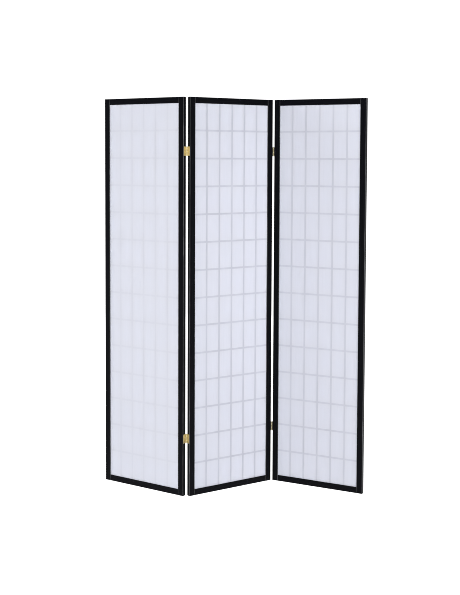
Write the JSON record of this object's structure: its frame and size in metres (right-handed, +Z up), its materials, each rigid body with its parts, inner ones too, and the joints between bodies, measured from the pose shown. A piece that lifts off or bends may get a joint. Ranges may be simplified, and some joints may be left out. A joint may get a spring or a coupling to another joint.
{
  "type": "folding screen",
  "caption": "Free-standing folding screen: tall wooden frames with a lattice between sheets of rice paper, joined by butt hinges.",
  "frame": {"origin": "on the floor, at the middle of the footprint of the screen as it stands in its zigzag", "axes": "+Z up; +X along the run of the screen, from the left panel to the right one; -Y towards the front"},
  "size_m": [1.1836, 0.2718, 1.785],
  "materials": {
    "black_wood": "satin black paint over fine-grained softwood",
    "lattice_wood": "plain planed softwood",
    "rice_paper": "matt white paper with long fibres",
    "brass": "polished brass plate"
  },
  "bodies": {
    "middle_panel": {"middle_panel_left_stile": "black_wood", "middle_panel_right_stile": "black_wood", "middle_panel_top_rail": "black_wood", "middle_panel_bottom_rail": "black_wood", "middle_panel_lattice": "lattice_wood", "middle_panel_front_paper": "rice_paper", "middle_panel_back_paper": "rice_paper", "left_upper_hinge_fixed_leaf": "brass", "left_upper_hinge_fixed_leaf_upper_screw": "brass", "left_upper_hinge_fixed_leaf_lower_screw": "brass", "left_upper_hinge_pin": "brass", "left_lower_hinge_fixed_leaf": "brass", "left_lower_hinge_fixed_leaf_upper_screw": "brass", "left_lower_hinge_fixed_leaf_lower_screw": "brass", "left_lower_hinge_pin": "brass", "right_upper_hinge_fixed_leaf": "brass", "right_upper_hinge_fixed_leaf_upper_screw": "brass", "right_upper_hinge_fixed_leaf_lower_screw": "brass", "right_upper_hinge_pin": "brass", "right_lower_hinge_fixed_leaf": "brass", "right_lower_hinge_fixed_leaf_upper_screw": "brass", "right_lower_hinge_fixed_leaf_lower_screw": "brass", "right_lower_hinge_pin": "brass"},
    "left_panel": {"left_panel_left_stile": "black_wood", "left_panel_right_stile": "black_wood", "left_panel_top_rail": "black_wood", "left_panel_bottom_rail": "black_wood", "left_panel_lattice": "lattice_wood", "left_panel_front_paper": "rice_paper", "left_panel_back_paper": "rice_paper", "left_upper_hinge_swinging_leaf": "brass", "left_upper_hinge_swinging_leaf_upper_screw": "brass", "left_upper_hinge_swinging_leaf_lower_screw": "brass", "left_lower_hinge_swinging_leaf": "brass", "left_lower_hinge_swinging_leaf_upper_screw": "brass", "left_lower_hinge_swinging_leaf_lower_screw": "brass"},
    "right_panel": {"right_panel_left_stile": "black_wood", "right_panel_right_stile": "black_wood", "right_panel_top_rail": "black_wood", "right_panel_bottom_rail": "black_wood", "right_panel_lattice": "lattice_wood", "right_panel_front_paper": "rice_paper", "right_panel_back_paper": "rice_paper", "right_upper_hinge_swinging_leaf": "brass", "right_upper_hinge_swinging_leaf_upper_screw": "brass", "right_upper_hinge_swinging_leaf_lower_screw": "brass", "right_lower_hinge_swinging_leaf": "brass", "right_lower_hinge_swinging_leaf_upper_screw": "brass", "right_lower_hinge_swinging_leaf_lower_screw": "brass"}
  },
  "joints": [
    {"name": "left_fold", "type": "hinge", "parent": "middle_panel", "child": "left_panel", "pos_m": [-0.21162, -0.11863, 0.9025], "axis": [0, 0, -1], "range_deg": [-71, 114]},
    {"name": "right_fold", "type": "hinge", "parent": "middle_panel", "child": "right_panel", "pos_m": [0.18864, 0.09224, 0.9025], "axis": [0, 0, -1], "range_deg": [-65, 120]}
  ]
}
